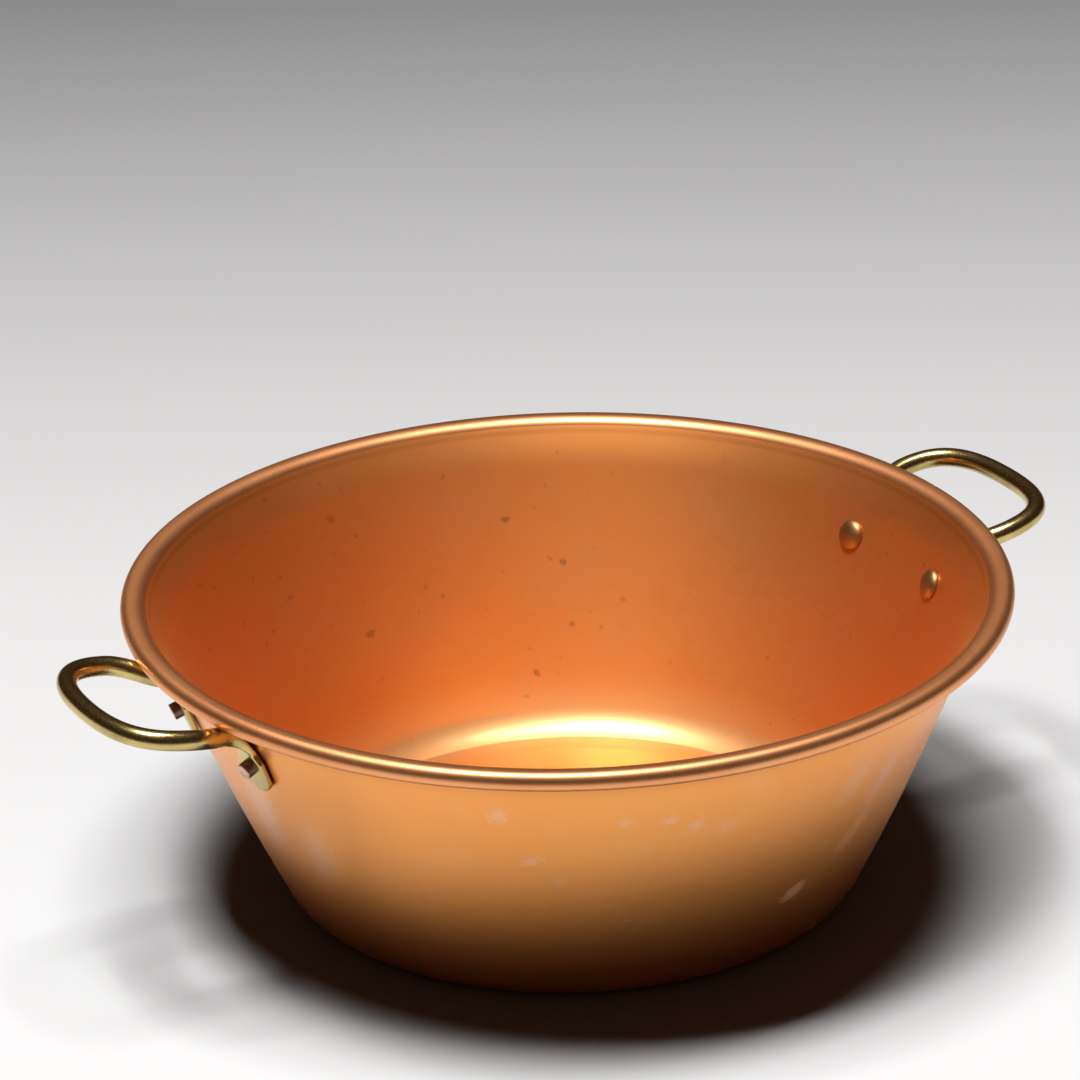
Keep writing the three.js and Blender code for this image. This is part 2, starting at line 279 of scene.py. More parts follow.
def wall_at(height):
    """Outer point, upward direction and outward direction of the wall at a height."""
    wall = PARTS["wall"]
    for (low, low_way), (high, high_way) in zip(wall, wall[1:]):
        if low.y <= height <= high.y:
            share = (height - low.y) / (high.y - low.y)
            upward = low_way.lerp(high_way, share).normalized()
            outward = out_of(upward)
            return low.lerp(high, share) + outward * (SHEET / 2), upward, outward
    raise ValueError("no wall at this height")


SEAT, SEAT_UPWARD, SEAT_OUTWARD = wall_at(PAN_HEIGHT - RIVET_DROP)
RIVET_ANGLE = math.asin(RIVET_SPACING / 2 / SEAT.x)


def turned(flat, angle):
    return Vector((flat.x * math.cos(angle), flat.x * math.sin(angle), flat.y))


# Mesh code

# A point this near the axis is one vertex, shared by all sides
ON_AXIS = 1e-7


def add_mesh(name, points, faces, face_slots, materials):
    mesh = bpy.data.meshes.new(name)
    mesh.from_pydata([tuple(p) for p in points], [], faces)
    for material in materials:
        mesh.materials.append(material)
    mesh.polygons.foreach_set("material_index", face_slots)
    mesh.polygons.foreach_set("use_smooth", [True] * len(faces))
    mesh.update()
    piece = bpy.data.objects.new(name, mesh)
    bpy.context.scene.collection.objects.link(piece)
    return piece


def revolve(name, outline, slots, sides, materials):
    """Closed skin of revolution about Z over (radius, height) points, with one slot per edge."""
    points = []
    rows = []
    for radius, height in outline:
        if radius < ON_AXIS:
            rows.append([len(points)] * sides)
            points.append((0, 0, height))
            continue
        rows.append(list(range(len(points), len(points) + sides)))
        for side in range(sides):
            angle = FULL * side / sides
            points.append((radius * math.cos(angle), radius * math.sin(angle), height))
    faces = []
    face_slots = []
    for row, slot in zip(range(len(rows) - 1), slots):
        for side in range(sides):
            after = (side + 1) % sides
            corners = [rows[row][side], rows[row][after], rows[row + 1][after], rows[row + 1][side]]
            faces.append(list(dict.fromkeys(corners)))
            face_slots.append(slot)
    return add_mesh(name, points, faces, face_slots, materials)


def loft(name, rings, material):
    """Closed skin over rings of equal count, with a flat face over each end."""
    count = len(rings[0])
    points = [p for ring in rings for p in ring]
    faces = []
    for row in range(len(rings) - 1):
        for side in range(count):
            after = (side + 1) % count
            near = row * count
            far = near + count
            faces.append([near + side, near + after, far + after, far + side])
    faces.append(list(range(count))[::-1])
    faces.append([(len(rings) - 1) * count + side for side in range(count)])
    return add_mesh(name, points, faces, [0] * len(faces), [material])


# Node helpers

class Nodes:
    """A material's node tree, with short calls for the nodes used here."""

    def __init__(self, name):
        self.material = bpy.data.materials.new(name)
        self.material.use_nodes = True
        self.tree = self.material.node_tree
        self.shader = self.tree.nodes["Principled BSDF"]
        self.shader.inputs["Metallic"].default_value = 1.0
        coordinates = self.tree.nodes.new("ShaderNodeTexCoord")
        self.place = coordinates.outputs["Object"]
        split = self.tree.nodes.new("ShaderNodeSeparateXYZ")
        self.link(self.place, split.inputs[0])
        self.x, self.y, self.z = split.outputs

    def link(self, source, socket):
        self.tree.links.new(source, socket)

    def put(self, value, socket):
        if hasattr(value, "is_output"):
            self.link(value, socket)
        else:
            socket.default_value = value

    def math(self, operation, first, second=0.0):
        node = self.tree.nodes.new("ShaderNodeMath")
        node.operation = operation
        for value, socket in zip((first, second), node.inputs):
            self.put(value, socket)
        return node.outputs[0]

    def vector(self, x, y, z):
        node = self.tree.nodes.new("ShaderNodeCombineXYZ")
        for value, socket in zip((x, y, z), node.inputs):
            self.put(value, socket)
        return node.outputs[0]

    def noise(self, scale, detail, roughness=0.55, vector=None, distortion=0.0):
        node = self.tree.nodes.new("ShaderNodeTexNoise")
        self.link(vector or self.place, node.inputs["Vector"])
        node.inputs["Scale"].default_value = scale
        node.inputs["Detail"].default_value = detail
        node.inputs["Roughness"].default_value = roughness
        node.inputs["Distortion"].default_value = distortion
        return node.outputs["Fac"]

    def span(self, value, low, high, to_low=0.0, to_high=1.0, smooth=False):
        node = self.tree.nodes.new("ShaderNodeMapRange")
        node.interpolation_type = "SMOOTHSTEP" if smooth else "LINEAR"
        for number, socket in zip((value, low, high, to_low, to_high), node.inputs):
            self.put(number, socket)
        return node.outputs[0]

    def mix(self, share, first, second):
        node = self.tree.nodes.new("ShaderNodeMix")
        node.data_type = "RGBA"
        self.put(share, node.inputs[0])
        for value, socket in ((first, node.inputs[6]), (second, node.inputs[7])):
            if isinstance(value, tuple):
                socket.default_value = (*value, 1.0)
            else:
                self.link(value, socket)
        return node.outputs[2]

    def tint(self, colour, other, pattern, low, high, most=1.0):
        """Lay another colour on, from none where a pattern is low to the most where it is high."""
        return self.mix(self.span(pattern, low, high, to_high=most), colour, other)

    def radius(self):
        squares = [self.math("MULTIPLY", side, side) for side in (self.x, self.y)]
        return self.math("SQRT", self.math("ADD", *squares))

    def mark(self, row, ragged, soft):
        """Share of an oval mark on the wall: its strength in its middle, 0 past its ragged edge."""
        bearing, height, tilt, length, width, strength = row
        flat, upward, outward = wall_at(height)
        bearing = math.radians(bearing)
        tilt = math.radians(tilt)
        centre = turned(flat, bearing)
        out = turned(outward, bearing)
        up = turned(upward, bearing)
        level = UP.cross(out).normalized()
        along = level * math.cos(tilt) + up * math.sin(tilt)
        across = out.cross(along)
        away = self.tree.nodes.new("ShaderNodeVectorMath")
        away.operation = "SUBTRACT"
        self.link(self.place, away.inputs[0])
        away.inputs[1].default_value = centre
        squares = []
        for direction, reach in ((along, length / 2), (across, width / 2), (out, MARK_DEPTH)):
            part = self.tree.nodes.new("ShaderNodeVectorMath")
            part.operation = "DOT_PRODUCT"
            self.link(away.outputs[0], part.inputs[0])
            part.inputs[1].default_value = direction / reach
            squares.append(self.math("POWER", self.math("ABSOLUTE", part.outputs["Value"]), 2.0))
        total = self.math("ADD", self.math("ADD", squares[0], squares[1]), squares[2])
        wander = self.span(self.noise(MARK_GRAIN, 2.0), *NOISE_RANGE, -ragged / 2, ragged / 2)
        edge = self.math("ADD", self.math("SQRT", total), wander)
        share = self.span(edge, 1 - soft, 1.0, 1.0, 0.0, True)
        return self.math("MULTIPLY", share, strength)

    def bump(self, height, distance):
        node = self.tree.nodes.new("ShaderNodeBump")
        self.link(height, node.inputs["Height"])
        node.inputs["Distance"].default_value = distance
        return node.outputs[0]

    def finish(self, colour, roughness, normal):
        self.link(colour, self.shader.inputs["Base Color"])
        self.put(roughness, self.shader.inputs["Roughness"])
        self.link(normal, self.shader.inputs["Normal"])
        return self.material


# Materials

# Colours, as linear red, green and blue
INSIDE_BRIGHT = (0.99, 0.450, 0.142)
INSIDE_DEEP = (0.97, 0.388, 0.104)
INSIDE_LINE = (0.84, 0.33, 0.10)
INSIDE_PATCH = (0.88, 0.44, 0.20)
# Painted highlight: paler copper on the lower inside wall, whitening the highlight in the heel
INSIDE_FOOT_HIGHLIGHT = (0.98, 0.58, 0.25)
INSIDE_TOP = (0.99, 0.42, 0.12)
# Painted shade: dark brown laid along the crease inside below the rim
CREASE_SHADE = (0.60, 0.20, 0.06)
SPECK = (0.50, 0.20, 0.08)
TARNISH = (0.42, 0.17, 0.07)
# Painted shade and painted highlight: the inside base takes a darker, paler copy of the copper
BASE_SHADE_AND_HIGHLIGHT_BRIGHT = (0.64, 0.35, 0.15)
BASE_SHADE_AND_HIGHLIGHT_DEEP = (0.56, 0.30, 0.12)
OUTSIDE_BRIGHT = (0.99, 0.425, 0.12)
OUTSIDE_DEEP = (0.98, 0.385, 0.10)
OUTSIDE_LINE = (0.86, 0.32, 0.08)
OUTSIDE_PATCH = (0.97, 0.52, 0.24)
# Painted shade: darker, redder copper towards the outside foot, near the floor
OUTSIDE_FOOT_SHADE = (0.84, 0.27, 0.07)
# Pale pink of the smudges, and of the painted reflections on the right of the outside
SMUDGE_AND_REFLECTION = (0.92, 0.57, 0.42)
SCUFF_AND_HIGHLIGHT = (0.97, 0.66, 0.40)
RIM_BRIGHT = (0.94, 0.43, 0.18)
RIM_DEEP = (0.86, 0.36, 0.15)
NICK = (0.60, 0.28, 0.14)
UNDER_BRIGHT = (0.72, 0.38, 0.22)
UNDER_DEEP = (0.50, 0.27, 0.18)
BRASS_BRIGHT = (0.68, 0.52, 0.20)
BRASS_DEEP = (0.40, 0.31, 0.12)
RIVET_HEAD = ((0.58, 0.31, 0.13), (0.40, 0.20, 0.08))
# Painted light on the rivet tails: a dark copy of the copper on the side as painted shade, a pale
# copy on the end as painted highlight
RIVET_TAIL_SHADE = ((0.30, 0.17, 0.11), (0.14, 0.09, 0.07))
RIVET_END_HIGHLIGHT = ((0.80, 0.58, 0.42), (0.52, 0.32, 0.20))
STEEL_BRIGHT = (0.50, 0.50, 0.51)
STEEL_DEEP = (0.38, 0.38, 0.39)

# Marks: bearing in degrees, height, tilt in degrees, length, width and strength
TARNISH_SPOTS = (
    (61.4, 0.0706, 20, 0.0042, 0.0032, 0.55),
    (60.1, 0.0458, 0, 0.0036, 0.0030, 0.45),
    (67.2, 0.0270, 60, 0.0044, 0.0036, 0.55),
    (98.2, 0.0545, 0, 0.0060, 0.0040, 0.45),
    (99.9, 0.1032, 30, 0.0050, 0.0036, 0.35),
    (70.6, 0.0892, 10, 0.0046, 0.0034, 0.55),
    (83.0, 0.0620, 15, 0.0030, 0.0026, 0.30),
    (51.0, 0.0560, 40, 0.0034, 0.0026, 0.30),
    (112.0, 0.0800, 0, 0.0040, 0.0030, 0.30),
)
PALE_SMUDGES_AND_REFLECTIONS = (
    (-129.3, 0.1012, 60, 0.0120, 0.0110, 0.40),
    (-125.0, 0.0781, 20, 0.0130, 0.0070, 0.40),
    (-121.1, 0.0675, 30, 0.0090, 0.0070, 0.22),
    (-111.8, 0.0968, 10, 0.0090, 0.0070, 0.30),
    (-105.5, 0.0960, 10, 0.0100, 0.0060, 0.35),
    (-101.5, 0.0915, 30, 0.0110, 0.0090, 0.30),
    (-97.0, 0.0880, 50, 0.0120, 0.0100, 0.22),
    (-110.5, 0.0441, 0, 0.0040, 0.0036, 0.55),
    (-174.0, 0.0720, 85, 0.0700, 0.0300, 0.60),
    (-163.0, 0.0600, 75, 0.0500, 0.0260, 0.35),
    # The last two rows, on the right, are painted reflections: pale pink smears down the wall
    (-74.0, 0.0900, 70, 0.0340, 0.0160, 0.30),
    (-66.0, 0.0820, 75, 0.0400, 0.0160, 0.40),
)
FLAKE = (-79.3, 0.0385, 34, 0.0160, 0.0100, 0.42)
# Painted highlight: a soft pale streak near the right edge of the outside
HIGHLIGHT_STREAK = (-68.9, 0.0580, 58, 0.0340, 0.0130, 0.15)


def along_spin(nodes):
    """How far out and up the sheet a point lies, which says on which spun line it is."""
    return nodes.math("ADD", nodes.radius(), nodes.math("MULTIPLY", nodes.z, SPUN_CLIMB))


def ring_lines(nodes, spacing, detail=2.0):
    """Noise that runs in rings round the axis, as a spinning tool leaves it."""
    lines = nodes.vector(nodes.math("DIVIDE", along_spin(nodes), spacing), 0.0, 0.0)
    return nodes.noise(1.0, detail, SPUN_NOISE_ROUGHNESS, lines)


def spun_strokes(nodes):
    """Noise drawn out along the spun lines, in short strokes of one width and length."""
    across = nodes.math("DIVIDE", along_spin(nodes), STROKE_WIDTH)
    angle = nodes.math("ARCTAN2", nodes.y, nodes.x)
    around = nodes.math("MULTIPLY", angle, RIM_RADIUS / STROKE_LENGTH)
    return nodes.noise(1.0, 2.0, SPUN_NOISE_ROUGHNESS, nodes.vector(across, around, 0.0))


def spin(nodes, amount, rotation):
    """Stretch the highlights: across the spun lines at a quarter of a turn, along them at zero."""
    tangent = nodes.tree.nodes.new("ShaderNodeTangent")
    tangent.direction_type = "RADIAL"
    tangent.axis = "Z"
    nodes.link(tangent.outputs[0], nodes.shader.inputs["Tangent"])
    nodes.shader.inputs["Anisotropic"].default_value = amount
    nodes.shader.inputs["Anisotropic Rotation"].default_value = rotation


def inside_copper():
    nodes = Nodes("copper_satin_inside")
    spin(nodes, amount=0.45, rotation=0.25)
    cloud = nodes.noise(scale=9.0, detail=4.0)
    fine = nodes.noise(scale=60.0, detail=3.0)
    lines = ring_lines(nodes, spacing=0.0011, detail=1.0)
    patches = nodes.noise(scale=26.0, detail=4.0, distortion=0.5)
    specks = nodes.noise(scale=230.0, detail=1.0)
    painted_light_foot = nodes.span(nodes.z, *INSIDE_HIGHLIGHT_FADE, 1.0, 0.0, True)
    top = nodes.span(nodes.z, *INSIDE_TOP_FADE, 0.0, 1.0, True)
    # Painted shade: a thin band at the crease's height darkens towards the crease colour
    above_crease = nodes.math("SUBTRACT", nodes.z, PAN_HEIGHT - CREASE_DROP)
    from_crease = nodes.math("ABSOLUTE", above_crease)
    crease_shade = nodes.span(from_crease, *CREASE_REACH, CREASE_SHADE_STRENGTH, 0.0, True)
    colour = nodes.tint(INSIDE_BRIGHT, INSIDE_DEEP, cloud, 0.35, 0.68)
    colour = nodes.tint(colour, INSIDE_LINE, fine, 0.55, 0.80, most=0.20)
    colour = nodes.tint(colour, INSIDE_LINE, lines, 0.45, 0.75, most=0.10)
    colour = nodes.tint(colour, INSIDE_PATCH, patches, 0.52, 0.70, most=0.30)
    # Painted highlight: the inside pales towards the heel
    colour = nodes.mix(painted_light_foot, colour, INSIDE_FOOT_HIGHLIGHT)
    colour = nodes.mix(top, colour, INSIDE_TOP)
    colour = nodes.mix(crease_shade, colour, CREASE_SHADE)
    colour = nodes.tint(colour, SPECK, specks, 0.72, 0.80, most=0.35)
    for row in TARNISH_SPOTS:
        colour = nodes.mix(nodes.mark(row, ragged=0.5, soft=0.5), colour, TARNISH)
    rough = nodes.span(spun_strokes(nodes), 0.44, 0.56, to_low=0.28, to_high=0.66)
    uneven = nodes.span(cloud, *NOISE_RANGE, to_low=-0.02, to_high=0.03)
    rough = nodes.math("ADD", rough, uneven)
    rough = nodes.math("ADD", rough, nodes.math("MULTIPLY", painted_light_foot, INSIDE_FOOT_ROUGHNESS))
    rings = ring_lines(nodes, spacing=0.0025)
    return nodes.finish(colour, rough, nodes.bump(rings, distance=0.000004))


# Inside base in painted light: copper darker and paler than the wall's
def base_copper_painted_light():
    nodes = Nodes("copper_satin_base_painted_light")
    cloud = nodes.noise(scale=14.0, detail=3.0)
    rings = ring_lines(nodes, spacing=0.0030)
    colour = nodes.tint(BASE_SHADE_AND_HIGHLIGHT_BRIGHT, BASE_SHADE_AND_HIGHLIGHT_DEEP, cloud, 0.35, 0.68)
    rough = nodes.span(spun_strokes(nodes), 0.44, 0.56, to_low=0.34, to_high=0.58)
    uneven = nodes.span(rings, *NOISE_RANGE, to_low=-0.05, to_high=0.05)
    rough = nodes.math("ADD", rough, uneven)
    return nodes.finish(colour, rough, nodes.bump(rings, distance=0.00001))


def outside_copper():
    nodes = Nodes("copper_polished_outside")
    spin(nodes, amount=0.5, rotation=0.25)
    cloud = nodes.noise(scale=7.0, detail=3.0)
    lines = ring_lines(nodes, spacing=0.0009, detail=1.0)
    patches = nodes.noise(scale=38.0, detail=3.0, distortion=0.6)
    painted_light_foot = nodes.span(nodes.z, *OUTSIDE_SHADE_FADE, 1.0, 0.0, True)
    colour = nodes.tint(OUTSIDE_BRIGHT, OUTSIDE_DEEP, cloud, 0.35, 0.7)
    colour = nodes.tint(colour, OUTSIDE_LINE, lines, 0.45, 0.75, most=0.22)
    colour = nodes.tint(colour, OUTSIDE_PATCH, patches, 0.56, 0.72, most=0.18)
    for row in PALE_SMUDGES_AND_REFLECTIONS:
        colour = nodes.mix(nodes.mark(row, ragged=0.8, soft=0.8), colour, SMUDGE_AND_REFLECTION)
    # Painted shade: the outside darkens and reddens towards its foot
    colour = nodes.mix(nodes.math("MULTIPLY", painted_light_foot, OUTSIDE_FOOT_SHADE_STRENGTH), colour, OUTSIDE_FOOT_SHADE)
    rough = nodes.span(spun_strokes(nodes), 0.42, 0.58, to_low=0.21, to_high=0.50)
    # The flake is a pale, rougher scuff. The streak is a painted highlight in the same pale colour
    # and roughness
    for row in (FLAKE, HIGHLIGHT_STREAK):
        share = nodes.mark(row, ragged=0.5, soft=0.6)
        colour = nodes.mix(share, colour, SCUFF_AND_HIGHLIGHT)
        rough = nodes.math("ADD", rough, nodes.math("MULTIPLY", share, SCUFF_AND_HIGHLIGHT_ROUGHNESS))
    rings = ring_lines(nodes, spacing=0.0035)
    return nodes.finish(colour, rough, nodes.bump(rings, distance=0.000006))


def rim_copper():
    nodes = Nodes("copper_browned_rim")
    spin(nodes, amount=0.2, rotation=0.0)
    cloud = nodes.noise(scale=25.0, detail=4.0)
    nicks = nodes.noise(scale=420.0, detail=2.0)
    colour = nodes.tint(RIM_BRIGHT, RIM_DEEP, cloud, 0.35, 0.7)
    colour = nodes.tint(colour, NICK, nicks, 0.66, 0.74, most=0.5)
    rough = nodes.span(spun_strokes(nodes), 0.42, 0.58, to_low=0.32, to_high=0.58)
    rings = ring_lines(nodes, spacing=0.0016)
    return nodes.finish(colour, rough, nodes.bump(rings, distance=0.000004))


def under_copper():
    nodes = Nodes("copper_base_underside")
    cloud = nodes.noise(scale=12.0, detail=5.0)
    rings = ring_lines(nodes, spacing=0.0015)
    colour = nodes.tint(UNDER_BRIGHT, UNDER_DEEP, cloud, 0.35, 0.7)
    rough = nodes.span(cloud, *NOISE_RANGE, to_low=0.28, to_high=0.42)
    return nodes.finish(colour, rough, nodes.bump(rings, distance=0.00002))


def handle_brass():
    nodes = Nodes("brass_polished_rod")
    cloud = nodes.noise(scale=45.0, detail=4.0)
    scratches = nodes.noise(scale=900.0, detail=2.0)
    grain = nodes.noise(scale=5000.0, detail=1.0)
    colour = nodes.tint(BRASS_BRIGHT, BRASS_DEEP, cloud, 0.4, 0.7)
    rough = nodes.span(grain, 0.4, 0.6, to_low=0.09, to_high=0.32)
    rough = nodes.math("ADD", rough, nodes.span(cloud, *NOISE_RANGE, to_high=0.06))
    return nodes.finish(colour, rough, nodes.bump(scratches, distance=0.000004))


def rivet_copper(name, bright, deep):
    nodes = Nodes(name)
    cloud = nodes.noise(scale=220.0, detail=4.0)
    dents = nodes.noise(scale=500.0, detail=2.0)
    colour = nodes.tint(bright, deep, cloud, 0.35, 0.7)
    rough = nodes.span(cloud, *NOISE_RANGE, to_low=0.38, to_high=0.52)
    return nodes.finish(colour, rough, nodes.bump(dents, distance=0.00003))


def wire_steel():
    nodes = Nodes("steel_wire")
    lines = nodes.noise(scale=700.0, detail=2.0)
    colour = nodes.mix(lines, STEEL_BRIGHT, STEEL_DEEP)
    return nodes.finish(colour, 0.4, nodes.bump(lines, distance=0.00001))


# Pieces

INSIDE, RIM, OUTSIDE, UNDER, BASE = range(5)
HEAD, TAIL, TAIL_END = range(3)
OUTER_SLOTS = {
    "base": UNDER,
    "heel": OUTSIDE,
    "wall": OUTSIDE,
    "flare": OUTSIDE,
    "shoulder": RIM,
    "curl": RIM,
}


def soft_inside(wall):
    """Inner skin of base and heel, then of the wall above them, with one slot per point."""
    level = SHEET + BASE_LIFT
    skin = [(place - out_of(ahead) * (SHEET / 2), -out_of(ahead)) for place, ahead in wall]
    for step, (place, inward) in enumerate(skin):
        centre = place + inward * SOFT_HEEL_RADIUS
        if centre.y >= level + SOFT_HEEL_RADIUS:
            break
    start = math.atan2(-inward.y, -inward.x)
    found = []
    for count in range(BASE_STEPS + 1):
        radius = centre.x * count / BASE_STEPS
        rise = RING_RISE * ease(min(1, (centre.x - radius) / RING_WIDTH))
        found.append((Vector((radius, level + rise)), BASE))
    for count in range(1, SOFT_HEEL_STEPS + 1):
        angle = -QUARTER + (start + QUARTER) * count / SOFT_HEEL_STEPS
        spoke = Vector((math.cos(angle), math.sin(angle)))
        slot = BASE if count <= BASE_HEEL_STEPS else INSIDE
        found.append((Vector((centre.x, level + SOFT_HEEL_RADIUS)) + spoke * SOFT_HEEL_RADIUS, slot))
    return found + [(point, INSIDE) for point, _ in skin[step + 1:]]


def bowl():
    outline = []
    slots = []
    back_outline = []
    back_slots = []
    for name, points in PARTS.items():
        for step, (place, ahead) in enumerate(points):
            if step == 0 and name != "base":
                continue
            across = out_of(ahead) * (SHEET / 2)
            outline.append(place + across)
            slots.append(OUTER_SLOTS[name])
            if name in ("flare", "shoulder", "curl"):
                back_outline.append(place - across)
                back_slots.append(INSIDE if name == "flare" else RIM)
        if name == "wall":
            for point, slot in soft_inside(points):
                back_outline.append(point)
                back_slots.append(slot)
    whole = outline + back_outline[::-1]
    edge_slots = slots[1:] + [RIM] + back_slots[::-1][:-1]
    materials = [inside_copper(), rim_copper(), outside_copper(), under_copper(), base_copper_painted_light()]
    piece = revolve("bowl", [(p.x, p.y) for p in whole], edge_slots, BOWL_SIDES, materials)
    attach(piece, "root")
    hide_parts("pan_body")


def tab_sections():
    """Sections of the tab on the wall, each a (place, direction, width, thickness, squareness)."""
    upward = turned(SEAT_UPWARD, RIVET_ANGLE)
    outward = turned(SEAT_OUTWARD, RIVET_ANGLE)
    middle = turned(SEAT, RIVET_ANGLE) + outward * (SEAT_GAP + TAB_THICKNESS / 2)
    sections = []
    for step in range(1, TAB_END_STEPS + 1):
        turn = QUARTER * step / TAB_END_STEPS
        place = middle + upward * (TAB_END_DEPTH * (1 - math.cos(turn)) - TAB_BELOW_RIVET)
        width = TAB_WIDTH * math.sin(turn)
        sections.append((place, upward, width, TAB_THICKNESS, TAB_SQUARENESS))
    for step in range(TAB_STEPS + 1):
        share = step / TAB_STEPS
        along = TAB_TAPER_START + (TAB_ABOVE_RIVET - TAB_TAPER_START) * share
        width = TAB_WIDTH + (NECK_WIDTH - TAB_WIDTH) * ease(share)
        sections.append((middle + upward * along, upward, width, TAB_THICKNESS, TAB_SQUARENESS))
    return sections


def climb(heading, rise):
    """Direction with a heading about the axis and a rise above level."""
    level = math.cos(rise)
    return Vector((math.cos(heading) * level, math.sin(heading) * level, math.sin(rise)))


def half_handle_sections():
    """Sections of the rear half of the right handle, from its tab's end to the middle of its grip."""
    sections = tab_sections()
    under = (BEAD_RADIUS + SEAT_GAP + ROD_RADIUS) / math.cos(FOOT_CLIMB)
    under_bead = turned(Vector((BEAD_CENTRE.x, BEAD_CENTRE.y - under)), RIVET_ANGLE)
    leave = climb(FOOT_SPLAY, FOOT_CLIMB)
    widest_side = RIVET_SPACING / 2 + LOOP_BULGE
    widest = Vector((RIM_RADIUS + WIDEST_REACH, widest_side, PAN_HEIGHT - WIDEST_DROP))
    outwards = climb(0, WIDEST_CLIMB)
    mid_grip = Vector((RIM_RADIUS + HANDLE_REACH - ROD_RADIUS, 0, PAN_HEIGHT - GRIP_DROP))
    forwards = climb(-QUARTER, 0)
    rod = 2 * ROD_RADIUS
    neck_start, neck_direction = sections[-1][:2]
    neck = bend_points(neck_start, neck_direction, under_bead, leave, NECK_PULL, NECK_STEPS)
    for step, (place, ahead) in list(enumerate(neck))[1:]:
        share = ease(step / NECK_STEPS)
        width = NECK_WIDTH + (rod - NECK_WIDTH) * share
        thickness = TAB_THICKNESS + (rod - TAB_THICKNESS) * share
        squareness = TAB_SQUARENESS + (ROD_SQUARENESS - TAB_SQUARENESS) * share
        sections.append((place, ahead, width, thickness, squareness))
    side = bend_points(under_bead, leave, widest, outwards, SIDE_PULL, SIDE_STEPS)
    grip = bend_points(widest, outwards, mid_grip, forwards, GRIP_PULL, GRIP_STEPS)
    for place, ahead in side[1:] + grip[1:]:
        sections.append((place, ahead, rod, rod, ROD_SQUARENESS))
    return sections


def bulge(wave, squareness):
    """A wave between -1 and 1, filled out towards a square."""
    return math.copysign(abs(wave) ** (2 / squareness), wave)


def ring_of(section):
    centre, direction, width, thickness, squareness = section
    side = UP.cross(direction).normalized()
    face = direction.cross(side).normalized()
    ring = []
    for step in range(ROD_SIDES):
        angle = FULL * step / ROD_SIDES
        across = bulge(math.cos(angle), squareness) * width / 2
        through = bulge(math.sin(angle), squareness) * thickness / 2
        ring.append(centre + side * across + face * through)
    return ring


def handle(name, node, turn, material):
    half = half_handle_sections()
    flip = Vector((1, -1, 1))
    other = [(c * flip, -(d * flip), w, t, s) for c, d, w, t, s in half[-2::-1]]
    piece = loft(name, [ring_of(section) for section in half + other], material)
    piece.data.transform(Matrix.Rotation(turn, 4, "Z"))
    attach(piece, "root")
    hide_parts(node)


def rivet(name, node, angle, materials):
    hollow = SEAT.x - math.sqrt(SEAT.x ** 2 - HEAD_RADIUS ** 2)
    head_face = -(SHEET + SEAT_GAP + hollow)
    tail_end = SEAT_GAP + TAB_THICKNESS + TAIL_LENGTH
    outline = []
    for step in range(HEAD_STEPS + 1):
        turn = QUARTER * step / HEAD_STEPS
        outline.append((HEAD_RADIUS * math.sin(turn), head_face - HEAD_HEIGHT * math.cos(turn)))
    outline.append((SHANK_RADIUS, head_face))
    outline.append((SHANK_RADIUS, tail_end - TAIL_EDGE_RADIUS))
    for step in range(1, TAIL_EDGE_STEPS + 1):
        turn = QUARTER * step / TAIL_EDGE_STEPS
        radius = SHANK_RADIUS - TAIL_EDGE_RADIUS * (1 - math.cos(turn))
        outline.append((radius, tail_end - TAIL_EDGE_RADIUS * (1 - math.sin(turn))))
    outline.append((0, tail_end))
    slots = [HEAD] * (HEAD_STEPS + 1) + [TAIL] + [TAIL_END] * (TAIL_EDGE_STEPS + 1)
    piece = revolve(name, outline, slots, RIVET_SIDES, materials)
    turn = UP.rotation_difference(turned(SEAT_OUTWARD, angle)).to_matrix().to_4x4()
    piece.data.transform(Matrix.Translation(turned(SEAT, angle)) @ turn)
    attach(piece, "root")
    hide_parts(node)


def dress_pan():
    bowl()
    brass = handle_brass()
    brown = [
        rivet_copper("copper_rivet_head", *RIVET_HEAD),
        rivet_copper("copper_rivet_tail_painted_shade", *RIVET_TAIL_SHADE),
        rivet_copper("copper_rivet_end_painted_highlight", *RIVET_END_HIGHLIGHT),
    ]
    handle("right_handle", "handle_right", 0, brass)
    handle("left_handle", "handle_left", math.pi, brass)
    rivet("right_rear_rivet", "rivet_right_rear", RIVET_ANGLE, brown)
    rivet("right_front_rivet", "rivet_right_front", -RIVET_ANGLE, brown)
    rivet("left_rear_rivet", "rivet_left_rear", math.pi - RIVET_ANGLE, brown)
    rivet("left_front_rivet", "rivet_left_front", math.pi + RIVET_ANGLE, brown)
    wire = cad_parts["rim_wire"]
    wire.data.materials.clear()
    wire.data.materials.append(wire_steel())


# Studio

def toward(turn, elevation):
    """Unit vector from the pan; turn 0 is the front and positive turns go to the right."""
    level = math.cos(elevation)
    return Vector((math.sin(turn) * level, -math.cos(turn) * level, math.sin(elevation)))


